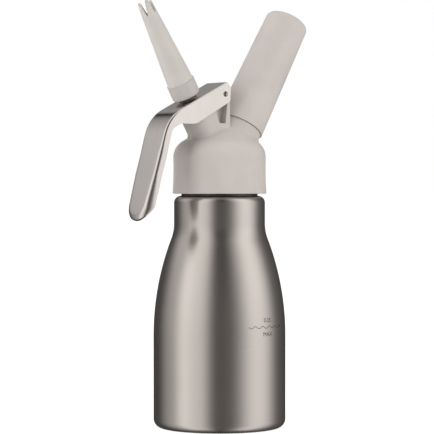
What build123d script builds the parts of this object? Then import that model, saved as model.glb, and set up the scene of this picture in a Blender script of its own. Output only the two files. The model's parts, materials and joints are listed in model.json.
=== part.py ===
from build123d import *
import os
from math import atan2, cos, degrees, radians, sin, sqrt, tan

# Cream whipper: a steel bottle, a moulded head with a lever valve, a decorator tip and
# a gas charger in its holder. Millimetres, +Z up, origin at the centre of the foot ring.
# The handle points to -X, the charger holder to +X, and Y = 0 is the plane of symmetry.

# Bottle
bottle_radius = 38.5
bottle_wall = 0.9
foot_corner_radius = 5.2
foot_band_width = 3.8
base_rise = 2.5
base_slope_run = 5.0
barrel_height = 53.5
shoulder_radius = 159.0
neck_fillet_radius = 25.0
neck_radius = 26.5
neck_top = 135.0
neck_top_round = 4.0
finish_radius = 22.4
finish_height = 17.0

# Head shell
head_gap = 0.7
head_radius = 27.3
head_edge_chamfer = 1.6
skirt_waist = 0.45
skirt_height = 27.8
skirt_round = 11.0
cone_slope = 30.0
cone_height = 14.0
cavity_radius = 18.4
cavity_depth = 5.8
axes_rise = 15.7
valve_tilt = 29.6
holder_tilt = 30.0

# Thread ring and gasket
thread_clearance = 0.35
thread_ring_wall = 1.7
thread_ring_inset = 1.8
gasket_thickness = 2.2
gasket_clearance = 0.4
gasket_inner_radius = 18.9
thread_ring_gap = 0.4

# Valve boss and bearing block, along the valve axis from where the axes cross
boss_top = 37.5
boss_root = 14.0
boss_blend = 3.0
block_foot_out = 5.0
block_foot_rise = 6.5
lug_radius = 4.2

# Side pockets of the bearing block: each corner's place beside the pin and below it
pocket_wall = 5.0
pocket_round = 0.8
pocket_top_out = 2.6
pocket_top_drop = 4.6
pocket_crown_in = 3.2
pocket_crown_drop = 4.9
pocket_back_in = 6.0
pocket_back_drop = 9.2
pocket_foot_out = 1.4
pocket_foot_in = 3.0
pocket_foot_drop = 16.8

# Valve
stem_radius = 4.2
stem_bore_radius = 2.4
stem_clearance = 0.06
stem_thread_length = 11.1
stem_thread_chamfer = 0.5
shoulder_disc_radius = 6.2
shoulder_disc_thickness = 1.5
shoulder_play = 0.5
port_radius = 1.3
port_count = 4
valve_travel = 3.7
seat_distance = 12.0
seal_thickness = 1.7
seal_band = 1.1
foot_thickness = 2.0
foot_band = 1.0
foot_stud_length = 3.2
foot_round = 0.65
port_rise = 3.2
guide_wall = 1.35
guide_top = 28.0
guide_flange_thickness = 1.2
guide_flange_band = 0.3
guide_relief = 0.55
guide_relief_length = 5.5
ring_groove_depth = 0.8
ring_width = 1.7
stem_ring_rise = 9.0
guide_ring_rise = 12.5
ring_round = 0.25
ring_squeeze = 0.04
spring_wire = 1.0
spring_turns = 5
spring_radius = 5.0
spring_clearance = 0.5
spring_end_gap = 0.05

# Lever, pressed from sheet
sheet = 1.2
lever_width = 20.7
lever_side_clearance = 0.45
pin_x = -3.4
pin_rise = 58.8
plate_slope = 26.5
plate_rise = 5.7
plate_overhang = 4.2
bend_distance = 41.9
bend_radius = 23.0
handle_turn = 46.6
handle_length = 62.0
handle_depth = 4.5
handle_tip_depth = 2.2
handle_tip_taper = 16.0
fold_radius = 1.5
lever_hole_clearance = 1.05
flange_drop = 5.3
belly_drop = 6.3
belly_start = 26.7
belly_end = 36.0
belly_rise = 1.7
belly_round = 8.0
belly_end_round = 3.0
knee_round = 5.0
heel_x = 1.2
heel_round = 2.0
nose_out = 1.1
nose_rise = 1.9
nose_round = 2.5
press_overrun = 13.0
press_depth = 20.6

# Lever pin
pin_radius = 1.5
pin_bore_radius = 0.95
pin_slot = 0.5
pin_proud = 0.25
pin_clearance = 0.06

# Decorator tip
collar_gap = 2.1
collar_radius = 8.2
collar_height = 9.3
collar_flat_depth = 0.35
collar_flat_count = 6
collar_round = 1.0
tip_length = 60.6
tip_root_radius = 7.7
tip_end_radius = 4.15
tip_wall = 1.4
tip_web = 1.5
tip_seal_thickness = 1.2
tip_seal_gap = 0.05
socket_clearance = 0.08
prong_count = 5
prong_turn = 90.0
prong_depth = 7.2
prong_root_gap = 0.85
prong_gap = 2.9
prong_point = 1.0
prong_point_gap = 4.1

# Charger holder and charging side, along the holder axis from where the axes cross
holder_seat = 28.6
holder_gap = 0.3
holder_length = 74.5
holder_mouth_radius = 14.5
holder_end_radius = 12.8
holder_end_wall = 3.5
holder_end_round = 3.4
holder_crown = 1.4
holder_bore_clearance = 0.5
holder_thread_relief = 0.2
charging_boss_inset = 0.9
charging_boss_root = 8.0
charging_boss_blend = 4.8
charger_radius = 8.9
charger_length = 65.5
charger_wall = 1.6
charger_end_round = 5.5
charger_neck_radius = 4.3
charger_neck_length = 8.6
charger_shoulder_length = 9.0
charger_end_gap = 0.3
pierced_radius = 1.5
nipple_radius = 10.6
nipple_thread_clearance = 0.4
nipple_shank_radius = 7.0
nipple_shank_length = 11.0
nipple_bore_clearance = 0.35
nipple_neck_play = 0.6
charger_seal_thickness = 2.3
charger_seal_gap = 0.1
charger_seal_band = 0.3
needle_radius = 1.15
needle_base_radius = 2.0
needle_base_length = 4.0
needle_reach = 2.6
needle_point = 2.0
needle_bore_radius = 0.4
gas_hole_radius = 0.9
check_seat = 11.5
check_pocket_radius = 4.0
check_disc_radius = 3.3
check_disc_thickness = 1.0
check_stem_length = 3.0
check_stem_radius = 1.9

# Places that follow from the sizes above
finish_top = neck_top + finish_height
skirt_bottom = neck_top + head_gap
skirt_top = skirt_bottom + skirt_height
cone_top = skirt_top + cone_height
gasket_top = finish_top + gasket_thickness
cavity_top = gasket_top + cavity_depth
thread_ring_inner = finish_radius + thread_clearance
thread_ring_outer = thread_ring_inner + thread_ring_wall
thread_ring_bottom = skirt_bottom + thread_ring_inset
thread_ring_top = finish_top - thread_ring_gap

pin_height = neck_top + pin_rise
crossing = Vector(0, 0, neck_top + axes_rise)
pin_point = Vector(pin_x, 0, pin_height)
toward_front = (0, -1, 0)


def section_plane(tilt):
    """Plane of symmetry seen along a tilted axis: local x runs out from it, local y along it."""
    lean = radians(tilt)
    return Plane(crossing, x_dir=(cos(lean), 0, -sin(lean)), z_dir=toward_front)


def cross_plane(section, distance):
    """Plane square to a tilted axis, at a distance along it."""
    return Plane(
        crossing + section.y_dir * distance, x_dir=section.x_dir, z_dir=section.y_dir
    )


def turned(section, angle):
    """A section plane turned by an angle round its tilted axis."""
    axis = Axis(crossing, section.y_dir)
    return Plane(
        crossing,
        x_dir=section.x_dir.rotate(axis, angle),
        z_dir=section.z_dir.rotate(axis, angle),
    )


def band(inner, outer, low, high, mode=Mode.ADD):
    """Half section of a ring or bore, drawn in the sketch that is open."""
    with Locations((inner, low)):
        Rectangle(outer - inner, high - low, align=(Align.MIN, Align.MIN), mode=mode)


def in_xz(point):
    """A point of the plane of symmetry as sketch coordinates on Plane.XZ."""
    return (point.X, point.Z)


def finish(builder, name):
    """Name a finished piece and write it to its own file."""
    builder.part.label = name
    export_step(builder.part, f"parts/{name}.step")


os.makedirs("parts", exist_ok=True)

valve_section = section_plane(-valve_tilt)
valve_axis = Axis(crossing, valve_section.y_dir)
holder_section = section_plane(holder_tilt)
holder_axis = Axis(crossing, holder_section.y_dir)

# The lever's own frame has its origin on the pin, local x along the plate to the handle
# and local y out of the plate.
plate_lean = radians(plate_slope)
lever_section = Plane(
    pin_point, x_dir=(-cos(plate_lean), 0, -sin(plate_lean)), z_dir=(0, 1, 0)
)
lever_inner_half = lever_width / 2 - sheet
block_half = lever_inner_half - lever_side_clearance
pin_on_valve = valve_section.to_local_coords(pin_point)
plate_on_valve_angle = radians(valve_tilt - plate_slope)
plate_top_on_axis = (
    pin_on_valve.Y
    + plate_rise / cos(plate_on_valve_angle)
    + pin_on_valve.X * tan(plate_on_valve_angle)
)

# Bottle: the same half section twice, the second time inset by the wall to hollow it
shoulder_centre = Vector(bottle_radius - shoulder_radius, barrel_height)
fillet_centre_x = neck_radius + neck_fillet_radius
fillet_rise = sqrt(
    (shoulder_radius + neck_fillet_radius) ** 2 - (fillet_centre_x - shoulder_centre.X) ** 2
)
fillet_centre = Vector(fillet_centre_x, barrel_height + fillet_rise)
shoulder_sweep = degrees(atan2(fillet_rise, fillet_centre_x - shoulder_centre.X))
foot_centre = Vector(bottle_radius - foot_corner_radius, foot_corner_radius)
foot_inner_radius = foot_centre.X - foot_band_width
top_round_centre = Vector(neck_radius - neck_top_round, neck_top - neck_top_round)

with BuildPart() as bottle:
    for inset, mode in ((0, Mode.ADD), (bottle_wall, Mode.SUBTRACT)):
        rim = finish_top + inset
        with BuildSketch(Plane.XZ):
            with BuildLine():
                base = Polyline(
                    (0, rim),
                    (0, base_rise + inset),
                    (foot_inner_radius - base_slope_run, base_rise + inset),
                    (foot_inner_radius, inset),
                    (foot_centre.X, inset),
                )
                foot = CenterArc(foot_centre, foot_corner_radius - inset, -90, 90)
                shoulder = CenterArc(shoulder_centre, shoulder_radius - inset, 0, shoulder_sweep)
                hollow = CenterArc(fillet_centre, neck_fillet_radius + inset, 180, shoulder_sweep)
                top_round = CenterArc(top_round_centre, neck_top_round - inset, 0, 90)
                Line(foot @ 1, shoulder @ 0)
                Line(hollow @ 0, top_round @ 0)
                Polyline(
                    top_round @ 1,
                    (finish_radius - inset, neck_top - inset),
                    (finish_radius - inset, rim),
                    base @ 0,
                )
            make_face()
        revolve(axis=Axis.Z, mode=mode)
finish(bottle, "bottle")

# Gasket on the bottle's lip
with BuildPart() as head_gasket:
    with BuildSketch(Plane.XZ):
        band(gasket_inner_radius, thread_ring_outer - gasket_clearance, finish_top, gasket_top)
    revolve(axis=Axis.Z)
finish(head_gasket, "head_gasket")

# Threaded ring inside the skirt
with BuildPart() as thread_ring:
    with BuildSketch(Plane.XZ):
        band(thread_ring_inner, thread_ring_outer, thread_ring_bottom, thread_ring_top)
    revolve(axis=Axis.Z)
finish(thread_ring, "thread_ring")

# Valve stack, from the seat upwards
guide_bore = stem_radius + stem_clearance
guide_radius = guide_bore + guide_wall
guide_flange_radius = guide_radius + guide_flange_band
spring_recess_radius = spring_radius + spring_wire / 2 + spring_clearance
spring_seat = guide_top + guide_flange_thickness
shoulder_top = plate_top_on_axis - sheet / cos(plate_on_valve_angle) - shoulder_play
shoulder_bottom = shoulder_top - shoulder_disc_thickness
collar_bottom = plate_top_on_axis + collar_gap
stem_top = collar_bottom + stem_thread_length
socket_end = stem_top + tip_seal_thickness + tip_seal_gap
seal_bottom = seat_distance - seal_thickness
foot_bottom = seal_bottom - foot_thickness
port_distance = seat_distance + port_rise
stem_ring_low = seat_distance + stem_ring_rise
guide_ring_low = seat_distance + guide_ring_rise

# Charging stack, from the boss face upwards
holder_rim = holder_seat + holder_gap
holder_end = holder_rim + holder_length
charger_end = holder_end - holder_end_wall - charger_end_gap
charger_tip = charger_end - charger_length
nipple_top = charger_tip + charger_neck_length - nipple_neck_play
nipple_bore_radius = charger_neck_radius + nipple_bore_clearance
seal_floor = charger_tip - charger_seal_gap - charger_seal_thickness
nipple_shank_end = holder_seat - nipple_shank_length
charging_boss_radius = holder_mouth_radius - charging_boss_inset

# Head shell
cone_top_radius = head_radius - cone_height / tan(radians(cone_slope))
block_foot = skirt_top + block_foot_rise

with BuildPart() as head_shell:
    with BuildSketch(Plane.XZ):
        with BuildLine():
            low_edge = Polyline(
                (0, cone_top),
                (0, skirt_bottom),
                (head_radius - head_edge_chamfer, skirt_bottom),
                (head_radius, skirt_bottom + head_edge_chamfer),
            )
            waist = ThreePointArc(
                low_edge @ 1,
                (head_radius - skirt_waist, skirt_bottom + skirt_height / 2),
                (head_radius, skirt_top),
            )
            Polyline(waist @ 1, (cone_top_radius, cone_top), low_edge @ 0)
        make_face()
    revolve(axis=Axis.Z)
    round_edges = head_shell.edges().filter_by(GeomType.CIRCLE).sort_by(Axis.Z)
    fillet(round_edges[-2], skirt_round)
    # Charging boss with a flat seat under the holder, flowing into the dome
    with BuildSketch(cross_plane(holder_section, charging_boss_root)):
        Circle(charging_boss_radius)
    extrude(amount=holder_seat - charging_boss_root)
    with BuildSketch(holder_section):
        band(0, holder_mouth_radius + holder_gap, holder_seat, nipple_top)
    revolve(axis=holder_axis, mode=Mode.SUBTRACT)
    curves = head_shell.edges().filter_by(
        lambda edge: edge.geom_type in (GeomType.ELLIPSE, GeomType.BSPLINE)
    )
    on_dome = curves.filter_by(lambda edge: edge.bounding_box().min.Z > skirt_top)
    boss_seam = on_dome.filter_by(lambda edge: edge.bounding_box().min.X > -cone_top_radius)
    fillet(boss_seam, charging_boss_blend)
    # Round valve boss
    with BuildSketch(cross_plane(valve_section, boss_root)):
        Circle(block_half)
    extrude(amount=boss_top - boss_root)
    # Bearing block, which joins the boss to the lug round the pin
    with BuildSketch(Plane.XZ):
        with BuildLine():
            Polyline(
                in_xz(valve_section.from_local_coords((0, boss_root))),
                in_xz(valve_section.from_local_coords((0, boss_top))),
                in_xz(valve_section.from_local_coords((block_half, boss_top))),
                (pin_x - lug_radius, pin_height),
                (pin_x + lug_radius, pin_height),
                (pin_x + block_foot_out, block_foot),
                close=True,
            )
        make_face()
        with Locations((pin_x, pin_height)):
            Circle(lug_radius)
    extrude(amount=block_half, both=True)
    # The boss and the block's sides flow into the dome
    curves = head_shell.edges().filter_by(
        lambda edge: edge.geom_type in (GeomType.HYPERBOLA, GeomType.BSPLINE)
    )
    on_valve_side = curves.filter_by(lambda edge: edge.bounding_box().min.X < pin_x)
    block_edge = pin_x + block_foot_out
    fillet(on_valve_side.filter_by(lambda edge: edge.bounding_box().max.X < block_edge), boss_blend)
    # Side pockets that keep the moulding's walls even
    for side in (1, -1):
        with BuildSketch(Plane.XZ.offset(side * pocket_wall / 2)) as pocket:
            with BuildLine():
                Polyline(
                    (pin_x + pocket_top_out, pin_height - pocket_top_drop),
                    (pin_x + pocket_foot_out, pin_height - pocket_foot_drop),
                    (pin_x - pocket_foot_in, pin_height - pocket_foot_drop),
                    (pin_x - pocket_back_in, pin_height - pocket_back_drop),
                    (pin_x - pocket_crown_in, pin_height - pocket_crown_drop),
                    close=True,
                )
            make_face()
            fillet(pocket.vertices(), pocket_round)
        extrude(amount=side * head_radius, mode=Mode.SUBTRACT)
    # Skirt bore, and the cavity above the gasket
    with BuildSketch(Plane.XZ):
        band(0, thread_ring_outer, skirt_bottom, gasket_top)
        band(0, cavity_radius, gasket_top, cavity_top)
    revolve(axis=Axis.Z, mode=Mode.SUBTRACT)
    # Valve bore with the spring's recess
    with BuildSketch(valve_section):
        band(0, guide_radius, foot_bottom - valve_travel, guide_top)
        band(0, spring_recess_radius, guide_top, boss_top + stem_radius)
    revolve(axis=valve_axis, mode=Mode.SUBTRACT)
    # Bore for the nipple's shank, gas channel and check valve pocket
    with BuildSketch(holder_section):
        band(0, nipple_shank_radius, nipple_shank_end, holder_seat)
        band(0, check_stem_radius, check_seat, nipple_shank_end)
        band(0, check_pocket_radius, check_seat - check_pocket_radius, check_seat)
    revolve(axis=holder_axis, mode=Mode.SUBTRACT)
    # Hole for the lever's pin
    with BuildSketch(Plane.XZ):
        with Locations((pin_x, pin_height)):
            Circle(pin_radius)
    extrude(amount=lever_width, both=True, mode=Mode.SUBTRACT)
finish(head_shell, "head_shell")

# Bush that guides the stem, with a relief round the ports and a groove for its seal
with BuildPart() as valve_guide:
    with BuildSketch(valve_section):
        band(guide_bore, guide_radius, seat_distance, guide_top)
        band(guide_bore, guide_flange_radius, guide_top, spring_seat)
        band(
            guide_bore, guide_bore + guide_relief, seat_distance,
            seat_distance + guide_relief_length, mode=Mode.SUBTRACT,
        )
        band(
            guide_radius - ring_groove_depth, guide_radius, guide_ring_low,
            guide_ring_low + ring_width, mode=Mode.SUBTRACT,
        )
    revolve(axis=valve_axis)
finish(valve_guide, "valve_guide")

with BuildPart() as guide_oring:
    with BuildSketch(valve_section):
        band(
            guide_radius - ring_groove_depth, guide_radius, guide_ring_low,
            guide_ring_low + ring_width,
        )
    revolve(axis=valve_axis)
    fillet(guide_oring.edges().filter_by(GeomType.CIRCLE), ring_round)
finish(guide_oring, "guide_oring")

# Hollow stem: shoulder under the lever's plate, thread end above it, ports at its foot
with BuildPart() as valve_stem:
    with BuildSketch(valve_section):
        band(stem_bore_radius, stem_radius, seal_bottom, stem_top)
        band(stem_bore_radius, shoulder_disc_radius, shoulder_bottom, shoulder_top)
        band(
            stem_radius - ring_groove_depth, stem_radius, stem_ring_low,
            stem_ring_low + ring_width, mode=Mode.SUBTRACT,
        )
    revolve(axis=valve_axis)
    stem_rims = valve_stem.edges().filter_by(GeomType.CIRCLE).group_by(valve_axis)[-1]
    chamfer(stem_rims.sort_by(SortBy.RADIUS)[-1], stem_thread_chamfer)
    for index in range(port_count // 2):
        with BuildSketch(turned(valve_section, index * 360 / port_count)):
            with Locations((0, port_distance)):
                Circle(port_radius)
        extrude(amount=stem_radius, both=True, mode=Mode.SUBTRACT)
finish(valve_stem, "valve_stem")

with BuildPart() as stem_oring:
    with BuildSketch(valve_section):
        band(
            stem_radius - ring_groove_depth, guide_bore - ring_squeeze, stem_ring_low,
            stem_ring_low + ring_width,
        )
    revolve(axis=valve_axis)
    fillet(stem_oring.edges().filter_by(GeomType.CIRCLE), ring_round)
finish(stem_oring, "stem_oring")

# Plug in the stem's lower end, and the seal it holds against the bush
with BuildPart() as stem_foot:
    with BuildSketch(valve_section):
        band(0, stem_radius + foot_band, foot_bottom, seal_bottom)
        band(0, stem_bore_radius, seal_bottom, seal_bottom + foot_stud_length)
    revolve(axis=valve_axis)
    fillet(stem_foot.edges().filter_by(GeomType.CIRCLE).sort_by(valve_axis)[0], foot_round)
finish(stem_foot, "stem_foot")

with BuildPart() as valve_seal:
    with BuildSketch(valve_section):
        band(stem_radius, stem_radius + seal_band, seal_bottom, seat_distance)
    revolve(axis=valve_axis)
finish(valve_seal, "valve_seal")

# Coil spring between the bush's flange and the stem's shoulder
spring_low = spring_seat + spring_wire / 2 + spring_end_gap
spring_high = shoulder_bottom - spring_wire / 2 - spring_end_gap
spring_pitch = (spring_high - spring_low) / spring_turns
with BuildPart() as valve_spring:
    with BuildLine():
        coil = Helix(
            spring_pitch,
            spring_high - spring_low,
            spring_radius,
            center=cross_plane(valve_section, spring_low).origin,
            direction=valve_section.y_dir,
        )
    with BuildSketch(Plane(coil @ 0, z_dir=coil % 0)):
        Circle(spring_wire / 2)
    sweep(path=coil, is_frenet=True)
finish(valve_spring, "valve_spring")
print("spring gap between turns", round(spring_pitch - spring_wire, 2))

# Lever: a channel pressed from sheet, drawn from the side in its own frame
turn = radians(handle_turn)
handle_run = Vector(cos(turn), -sin(turn))
handle_in = Vector(-sin(turn), -cos(turn))
bend_corner = Vector(bend_distance, plate_rise)
handle_end = bend_corner + handle_run * handle_length
handle_inner_corner = bend_corner + handle_in * handle_depth
inner_run = (handle_inner_corner.Y + belly_rise) / sin(turn)
tip_centre = bend_corner + handle_run * (handle_length - lever_width / 2)


def handle_plane(inset):
    """Plane on the handle's face, centred on its round end and sunk by an inset."""
    centre = tip_centre + handle_in * inset
    return Plane(
        lever_section.from_local_coords(centre),
        x_dir=lever_section.x_dir * handle_run.X + lever_section.y_dir * handle_run.Y,
        z_dir=lever_section.x_dir * -handle_in.X + lever_section.y_dir * -handle_in.Y,
    )


def outer_faces(builder):
    """Faces of the plate, the bend and the handle that look outwards."""
    out = lever_section.x_dir * sin(turn / 2) + lever_section.y_dir * cos(turn / 2)
    return builder.faces().filter_by(lambda face: face.normal_at().dot(out) > 0.8)


with BuildPart() as lever_space:
    with BuildSketch(lever_section):
        with BuildLine():
            FilletPolyline(
                (-press_overrun, plate_rise - sheet),
                (bend_distance - sheet * tan(turn / 2), plate_rise - sheet),
                handle_end + handle_in * sheet,
                handle_end + handle_in * press_depth,
                (bend_distance, -press_depth),
                (-press_overrun, -press_depth),
                radius=[0, bend_radius - sheet, 0, 0, 0, 0],
                close=True,
            )
        make_face()
    extrude(amount=lever_inner_half, both=True)
    with BuildSketch(handle_plane(sheet)):
        with Locations((lever_width / 2, 0)):
            Rectangle(lever_width, lever_width * 2)
        Circle(lever_inner_half, mode=Mode.SUBTRACT)
    extrude(amount=press_depth, both=True, mode=Mode.SUBTRACT)
    fillet(outer_faces(lever_space).edges().filter_by(Axis.Y, reverse=True), fold_radius - sheet)

with BuildPart() as lever:
    with BuildSketch(lever_section):
        with BuildLine():
            FilletPolyline(
                (-plate_overhang, plate_rise),
                bend_corner,
                handle_end,
                handle_end + handle_in * handle_tip_depth,
                handle_end - handle_run * handle_tip_taper + handle_in * handle_depth,
                handle_inner_corner + handle_run * inner_run,
                (belly_end, -belly_rise),
                (belly_start, -belly_drop),
                (-heel_x, -flange_drop),
                (-plate_overhang - nose_out, nose_rise),
                radius=[
                    0, bend_radius, 0, 0, 0, knee_round, belly_end_round, belly_round, heel_round,
                    nose_round,
                ],
                close=True,
            )
        make_face()
    extrude(amount=lever_width / 2, both=True)
    with BuildSketch(handle_plane(0)):
        with Locations((lever_width / 2, 0)):
            Rectangle(lever_width, lever_width * 2)
        Circle(lever_width / 2, mode=Mode.SUBTRACT)
    extrude(amount=press_depth, both=True, mode=Mode.SUBTRACT)
    fillet(outer_faces(lever).edges().filter_by(Axis.Y, reverse=True), fold_radius)
    add(lever_space.part, mode=Mode.SUBTRACT)
    # Hole for the stem through the plate, and for the pin through both flanges
    with BuildSketch(cross_plane(valve_section, plate_top_on_axis)):
        Circle(stem_radius + lever_hole_clearance)
    extrude(amount=plate_rise, both=True, mode=Mode.SUBTRACT)
    with BuildSketch(lever_section):
        Circle(pin_radius + pin_clearance)
    extrude(amount=lever_width, both=True, mode=Mode.SUBTRACT)
finish(lever, "lever")

# Spring pin, a slotted tube
with BuildPart() as lever_pin:
    pin_half = lever_width / 2 + pin_proud
    with BuildSketch(lever_section):
        Circle(pin_radius)
        Circle(pin_bore_radius, mode=Mode.SUBTRACT)
        with Locations((0, pin_radius)):
            Rectangle(pin_slot, pin_radius, mode=Mode.SUBTRACT)
    extrude(amount=pin_half, both=True)
finish(lever_pin, "lever_pin")

# Washer on the stem's end
with BuildPart() as tip_seal:
    with BuildSketch(valve_section):
        band(
            stem_bore_radius, stem_radius - stem_thread_chamfer, stem_top,
            stem_top + tip_seal_thickness,
        )
    revolve(axis=valve_axis)
finish(tip_seal, "tip_seal")

# Decorator tip: a thin cone on a collar, slit into prongs at its end
collar_top = collar_bottom + collar_height
tip_end = collar_bottom + tip_length
bore_start = socket_end + tip_web
with BuildPart() as decorator_tip:
    with BuildSketch(valve_section):
        with BuildLine():
            Polyline(
                (0, collar_bottom),
                (collar_radius, collar_bottom),
                (collar_radius, collar_top),
                (tip_root_radius, collar_top),
                (tip_end_radius, tip_end),
                (0, tip_end),
                close=True,
            )
        make_face()
    revolve(axis=valve_axis)
    rims = decorator_tip.edges().filter_by(GeomType.CIRCLE).sort_by(valve_axis)
    fillet(rims[0], collar_round)
    # Finger flats round the collar
    for index in range(collar_flat_count):
        with BuildSketch(turned(valve_section, index * 360 / collar_flat_count)):
            band(
                collar_radius - collar_flat_depth, collar_radius + collar_flat_depth,
                collar_bottom + collar_round, collar_top,
            )
        extrude(amount=collar_radius, both=True, mode=Mode.SUBTRACT)
    # Socket for the stem, web with its port, and the tapered bore
    with BuildSketch(valve_section):
        band(0, stem_radius + socket_clearance, collar_bottom, socket_end)
        band(0, stem_bore_radius, socket_end, bore_start)
        with BuildLine():
            Polyline(
                (0, bore_start),
                (tip_root_radius - tip_wall, bore_start),
                (tip_end_radius - tip_wall, tip_end),
                (0, tip_end),
                close=True,
            )
        make_face()
    revolve(axis=valve_axis, mode=Mode.SUBTRACT)
    # Slits that widen upwards and leave each prong pointed
    for index in range(prong_count):
        with BuildSketch(turned(valve_section, prong_turn + index * 360 / prong_count)):
            with BuildLine():
                Polyline(
                    (-prong_root_gap / 2, tip_end - prong_depth),
                    (prong_root_gap / 2, tip_end - prong_depth),
                    (prong_gap / 2, tip_end - prong_point),
                    (prong_point_gap / 2, tip_end),
                    (-prong_point_gap / 2, tip_end),
                    (-prong_gap / 2, tip_end - prong_point),
                    close=True,
                )
            make_face()
            with Locations((0, tip_end - prong_depth)):
                Circle(prong_root_gap / 2)
        extrude(amount=collar_radius, mode=Mode.SUBTRACT)
finish(decorator_tip, "decorator_tip")

# Gas charger, hollow, with its mouth pierced
charger_shoulder = charger_tip + charger_neck_length
with BuildPart() as gas_charger:
    for inset, mode in ((0, Mode.ADD), (charger_wall, Mode.SUBTRACT)):
        with BuildSketch(holder_section):
            with BuildLine():
                neck = Polyline(
                    (0, charger_end - inset),
                    (0, charger_tip + inset),
                    (charger_neck_radius - inset, charger_tip + inset),
                    (charger_neck_radius - inset, charger_shoulder),
                )
                shoulder = TangentArc(
                    neck @ 1,
                    (
                        (charger_neck_radius + charger_radius) / 2 - inset,
                        charger_shoulder + charger_shoulder_length / 2,
                    ),
                    tangent=(0, 1),
                )
                round_in = TangentArc(
                    shoulder @ 1,
                    (charger_radius - inset, charger_shoulder + charger_shoulder_length),
                    tangent=shoulder % 1,
                )
                end_round = CenterArc(
                    (charger_radius - charger_end_round, charger_end - charger_end_round),
                    charger_end_round - inset, 0, 90,
                )
                Line(round_in @ 1, end_round @ 0)
                Line(end_round @ 1, neck @ 0)
            make_face()
        revolve(axis=holder_axis, mode=mode)
    with BuildSketch(holder_section):
        band(0, pierced_radius, charger_tip, charger_tip + charger_wall)
    revolve(axis=holder_axis, mode=Mode.SUBTRACT)
finish(gas_charger, "gas_charger")

# Charger holder
holder_bore = charger_radius + holder_bore_clearance
with BuildPart() as charger_holder:
    with BuildSketch(holder_section):
        with BuildLine():
            side = Polyline(
                (0, holder_end),
                (0, holder_rim),
                (holder_mouth_radius, holder_rim),
                (holder_end_radius, holder_end - holder_crown),
            )
            TangentArc(side @ 0, side @ 1, tangent=(1, 0))
        make_face()
    revolve(axis=holder_axis)
    rims = charger_holder.edges().filter_by(lambda edge: edge.is_closed)
    fillet(rims.sort_by(holder_axis)[-1], holder_end_round)
    with BuildSketch(holder_section):
        band(
            0, nipple_radius + nipple_thread_clearance, holder_rim,
            nipple_top + holder_thread_relief,
        )
        band(0, holder_bore, holder_rim, holder_end - holder_end_wall)
    revolve(axis=holder_axis, mode=Mode.SUBTRACT)
finish(charger_holder, "charger_holder")

# Threaded nipple, with the needle and its seal in it
with BuildPart() as charging_nipple:
    with BuildSketch(holder_section):
        band(0, nipple_shank_radius, nipple_shank_end, holder_seat)
        band(0, nipple_radius, holder_seat, nipple_top)
        band(0, nipple_bore_radius, seal_floor, nipple_top, mode=Mode.SUBTRACT)
        band(0, needle_base_radius, seal_floor - needle_base_length, seal_floor, mode=Mode.SUBTRACT)
        band(0, gas_hole_radius, nipple_shank_end, seal_floor, mode=Mode.SUBTRACT)
    revolve(axis=holder_axis)
finish(charging_nipple, "charging_nipple")

needle_tip = charger_tip + charger_wall + needle_reach
with BuildPart() as piercing_pin:
    with BuildSketch(holder_section):
        band(needle_bore_radius, needle_base_radius, seal_floor - needle_base_length, seal_floor)
        with BuildLine():
            Polyline(
                (needle_bore_radius, seal_floor),
                (needle_radius, seal_floor),
                (needle_radius, needle_tip - needle_point),
                (needle_bore_radius, needle_tip),
                close=True,
            )
        make_face()
    revolve(axis=holder_axis)
finish(piercing_pin, "piercing_pin")

with BuildPart() as charger_seal:
    with BuildSketch(holder_section):
        band(
            needle_radius + charger_seal_band, nipple_bore_radius,
            seal_floor, seal_floor + charger_seal_thickness,
        )
    revolve(axis=holder_axis)
finish(charger_seal, "charger_seal")

# Rubber check valve over the gas channel's lower end
with BuildPart() as check_valve:
    with BuildSketch(holder_section):
        band(0, check_disc_radius, check_seat - check_disc_thickness, check_seat)
        band(0, check_stem_radius, check_seat, check_seat + check_stem_length)
    revolve(axis=holder_axis)
finish(check_valve, "check_valve")
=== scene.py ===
import json
from functools import partial
from math import asin, atan2, cos, pi, radians, sin, sqrt

import bmesh
import bpy
from bmesh.types import BMEdge, BMFace, BMVert
from bpy.props import FloatProperty, FloatVectorProperty, PointerProperty, StringProperty
from bpy.types import Operator, Panel, PropertyGroup
from mathutils import Matrix, Vector
from mathutils.interpolate import poly_3d_calc


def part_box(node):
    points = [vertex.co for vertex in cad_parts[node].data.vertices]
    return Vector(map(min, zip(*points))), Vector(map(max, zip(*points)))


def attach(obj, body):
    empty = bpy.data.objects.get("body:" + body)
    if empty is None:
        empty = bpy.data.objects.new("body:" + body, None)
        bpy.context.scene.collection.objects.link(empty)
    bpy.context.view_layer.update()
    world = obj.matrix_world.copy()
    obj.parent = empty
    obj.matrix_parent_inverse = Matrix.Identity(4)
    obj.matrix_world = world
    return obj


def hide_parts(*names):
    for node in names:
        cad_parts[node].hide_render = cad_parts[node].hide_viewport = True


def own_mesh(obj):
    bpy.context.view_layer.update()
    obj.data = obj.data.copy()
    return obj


bl_info = {
    "name": "Cream Whipper Looks",
    "version": (1, 0, 0),
    "blender": (4, 5, 0),
    "location": "3D View > Sidebar > Whipper",
    "description": "Finishes, threads, marks and studio for a cream whipper",
    "category": "Object",
}

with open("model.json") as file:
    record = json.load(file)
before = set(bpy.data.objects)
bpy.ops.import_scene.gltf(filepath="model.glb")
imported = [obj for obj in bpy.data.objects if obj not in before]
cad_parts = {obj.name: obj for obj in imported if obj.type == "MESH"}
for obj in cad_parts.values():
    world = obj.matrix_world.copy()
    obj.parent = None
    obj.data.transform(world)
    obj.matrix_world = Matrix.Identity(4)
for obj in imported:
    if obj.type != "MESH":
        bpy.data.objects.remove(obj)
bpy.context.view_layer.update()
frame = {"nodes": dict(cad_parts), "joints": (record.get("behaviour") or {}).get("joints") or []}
nodes = frame["nodes"]
joints = {joint["name"]: joint for joint in frame["joints"]}

MM = 0.001
crossing = Vector(joints["tip_unscrew"]["pos_m"])
pivot = Vector(joints["lever_press"]["pos_m"])
valve_axis = Vector(joints["tip_unscrew"]["axis"]).normalized()
holder_axis = Vector(joints["holder_unscrew"]["axis"]).normalized()


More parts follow.
